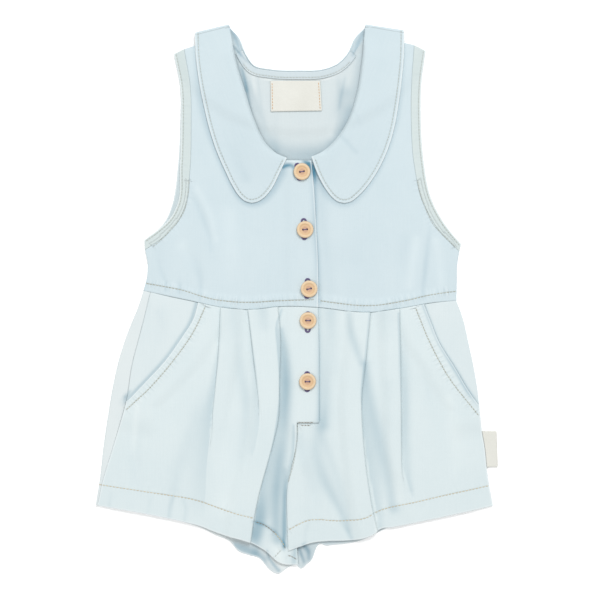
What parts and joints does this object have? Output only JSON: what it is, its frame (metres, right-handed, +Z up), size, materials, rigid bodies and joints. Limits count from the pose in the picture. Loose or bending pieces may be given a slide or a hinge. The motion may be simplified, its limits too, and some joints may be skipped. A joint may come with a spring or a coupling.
{
  "type": "short jumpsuit",
  "caption": "Child's sleeveless short jumpsuit in pale denim, laid flat: wide collar, buttoned placket, pleated shorts with slanted pockets.",
  "frame": {"origin": "middle of the garment's outline on the surface that it lies on", "axes": "+X towards the wearer's left, +Y from the hems to the neck, +Z up from the surface, out of the garment's front"},
  "size_m": [0.3625, 0.4933, 0.0099],
  "materials": {
    "denim": "light washed denim, face side",
    "denim_inside": "light washed denim, inner side",
    "label_cloth": "plain off-white woven tape",
    "wood": "satin turned wood"
  },
  "bodies": {
    "root": {"back_bodice": "denim_inside", "front_bodice_right": "denim", "front_bodice_left": "denim", "armhole_band_front_right": "denim", "armhole_band_front_left": "denim", "armhole_band_back_right": "denim_inside", "armhole_band_back_left": "denim_inside", "collar": "denim", "neck_tape": "denim_inside", "neck_label": "label_cloth", "shorts_front_right": "denim", "shorts_front_left": "denim", "shorts_back_right": "denim", "shorts_back_left": "denim", "pocket_side_right": "denim", "pocket_side_left": "denim", "side_label": "label_cloth", "button_1": "wood", "button_2": "wood", "button_3": "wood", "button_4": "wood", "button_5": "wood"}
  },
  "joints": []
}
